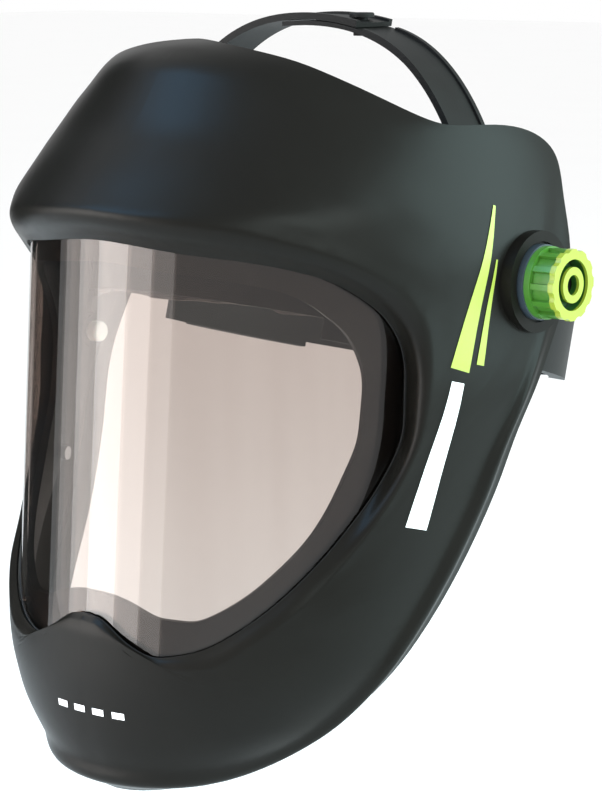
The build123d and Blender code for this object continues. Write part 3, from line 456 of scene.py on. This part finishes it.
def pin_spring(side, material):
    """Coil between the bushing on the visor and the collar on the pin.

    The bushing is at the end nearer the middle of the unit. The real coil shortens as the pin is
    pulled; this copy keeps the CAD spring's shape.
    """
    node = "pin_spring_" + side
    piece = copied_mesh(node, node + "_coil")
    paint(piece, material)
    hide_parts(node)
    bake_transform(piece)


# ---------------------------------------------------------------- printed marks

def shell_tree():
    """Search tree of the shell's surface."""
    return BVHTree.FromObject(frame["nodes"]["shell"], bpy.context.evaluated_depsgraph_get())


def tapered_rows(start, end, first_width, last_width, count):
    """Rows of three points along a tapered stripe in a plane."""
    a, b = Vector((*start, 0)), Vector((*end, 0))
    across = (b - a).normalized().cross(Vector((0, 0, 1)))
    rows = []
    for i in range(count + 1):
        t = i / count
        middle = a.lerp(b, t)
        half = (first_width + (last_width - first_width) * t) / 2
        rows.append([middle + across * half * s for s in (-1, 0, 1)])
    return rows


def print_on_shell(name, rows, direction, tree, colour):
    """Thin printed patch: rows of points beside the shell are cast onto it along a direction."""
    vertices, faces = [], []
    width = len(rows[0])
    for point in [p for row in rows for p in row]:
        place, normal, _, _ = tree.ray_cast(point, direction)
        if place is None:
            raise ValueError("%s misses the shell at %s" % (name, point))
        outward = normal if normal.dot(direction) < 0 else -normal
        vertices.append(place + outward * MARK_LIFT)
    for i in range(len(rows) - 1):
        for j in range(width - 1):
            k = i * width + j
            faces.append((k, k + 1, k + width + 1, k + width))
    mesh = bpy.data.meshes.new(name)
    mesh.from_pydata(vertices, [], faces)
    mesh.shade_smooth()
    piece = new_object(name, mesh)
    paler = tuple(min(1.0, c * MARK_PALER) for c in colour)
    paint(piece, surface(name, low=colour, high=paler, roughness=0.35, scale=500))
    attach(piece, "visor")


def make_marks():
    """Stripes on both sides of the shell and a row of dashes on its chin."""
    tree = shell_tree()
    for name, (start, end, first, last, colour) in SIDE_MARKS.items():
        flat = tapered_rows(start, end, first, last, SIDE_MARK_ROWS)
        for side, label in ((1, "_left"), (-1, "_right")):
            rows = [[Vector((side * BESIDE_SHELL, p.x, p.y)) for p in row] for row in flat]
            print_on_shell(name + label, rows, Vector((-side, 0, 0)), tree, colour)
    long, tall = CHIN_DASH_SIZE
    for k in range(CHIN_DASHES):
        x = CHIN_DASH_START + k * CHIN_DASH_PITCH
        flat = tapered_rows((x, CHIN_DASH_Z), (x + long, CHIN_DASH_Z), tall, tall, CHIN_DASH_ROWS)
        rows = [[Vector((p.x, BEFORE_SHELL, p.y)) for p in row] for row in flat]
        print_on_shell("chin_dash_%d" % (k + 1), rows, Vector((0, 1, 0)), tree, WHITE)


# ---------------------------------------------------------------- studio

def stand_off(thing, target, azimuth, elevation, distance):
    """Put a light, card or camera at a distance from a point, with its back away from the point."""
    a, e = math.radians(azimuth), math.radians(elevation)
    away = Vector((math.sin(a) * math.cos(e), -math.cos(a) * math.cos(e), math.sin(e)))
    thing.location = target + away * distance
    thing.rotation_euler = away.to_track_quat("Z", "Y").to_euler()


def make_camera():
    """Camera where the photo's camera stood."""
    data = bpy.data.cameras.new("camera")
    data.lens = CAMERA_LENS
    data.dof.use_dof = False
    camera = new_object("camera", data)
    stand_off(camera, CAMERA_TARGET, CAMERA_AZIMUTH, CAMERA_ELEVATION, CAMERA_DISTANCE)
    bpy.context.scene.camera = camera


def make_world():
    """Plain white surroundings, and the view transform that shows them as white."""
    world = bpy.data.worlds.new("studio")
    bpy.context.scene.world = world
    world.use_nodes = True
    background = world.node_tree.nodes["Background"]
    background.inputs["Color"].default_value = (1.0, 1.0, 1.0, 1.0)
    background.inputs["Strength"].default_value = WORLD_STRENGTH
    bpy.context.scene.view_settings.view_transform = "Standard"


def make_lights():
    """Rectangular soft boxes that face the unit."""
    for name, (azimuth, elevation, distance, width, height, power, colour) in SOFT_BOXES.items():
        data = bpy.data.lights.new(name, "AREA")
        data.shape = "RECTANGLE"
        data.size = width
        data.size_y = height
        data.energy = power
        data.color = colour
        stand_off(new_object(name, data), CAMERA_TARGET, azimuth, elevation, distance)


def make_floor():
    """Plain pale floor."""
    level = CAD_BOX[0][2] - FLOOR_DROP
    bpy.ops.mesh.primitive_plane_add(size=FLOOR_SIZE, location=(0, 0, level))
    floor = bpy.context.object
    floor.name = "floor"
    look = surface(
        "floor_paper",
        low=(0.95, 0.95, 0.95),
        high=(0.97, 0.97, 0.97),
        roughness=0.9,
        scale=3,
        bump=0.02,
    )
    paint(floor, look)


def make_flag():
    """Black card at the wearer's right, which the lens and shell show as a dark edge."""
    bpy.ops.mesh.primitive_plane_add(size=1)
    flag = bpy.context.object
    flag.name = "flag"
    flag.scale = FLAG_SIZE
    stand_off(flag, Vector((0, 0, 0)), FLAG_AZIMUTH, 0, FLAG_DISTANCE)
    look = surface(
        "flag_cloth", low=(0.004, 0.004, 0.004), high=(0.008, 0.008, 0.008), roughness=0.95
    )
    paint(flag, look)
    flag.visible_camera = False
    flag.visible_shadow = False


make_camera()
MATERIALS = make_materials()
paint_frame(MATERIALS)
soft_pad("sweatband", "headgear", MATERIALS["foam"])
soft_pad("nape_pad", "headgear", MATERIALS["foam"])
for side_name in ("left", "right"):
    pin_spring(side_name, MATERIALS["spring_steel"])
make_marks()
make_world()
make_lights()
make_floor()
make_flag()
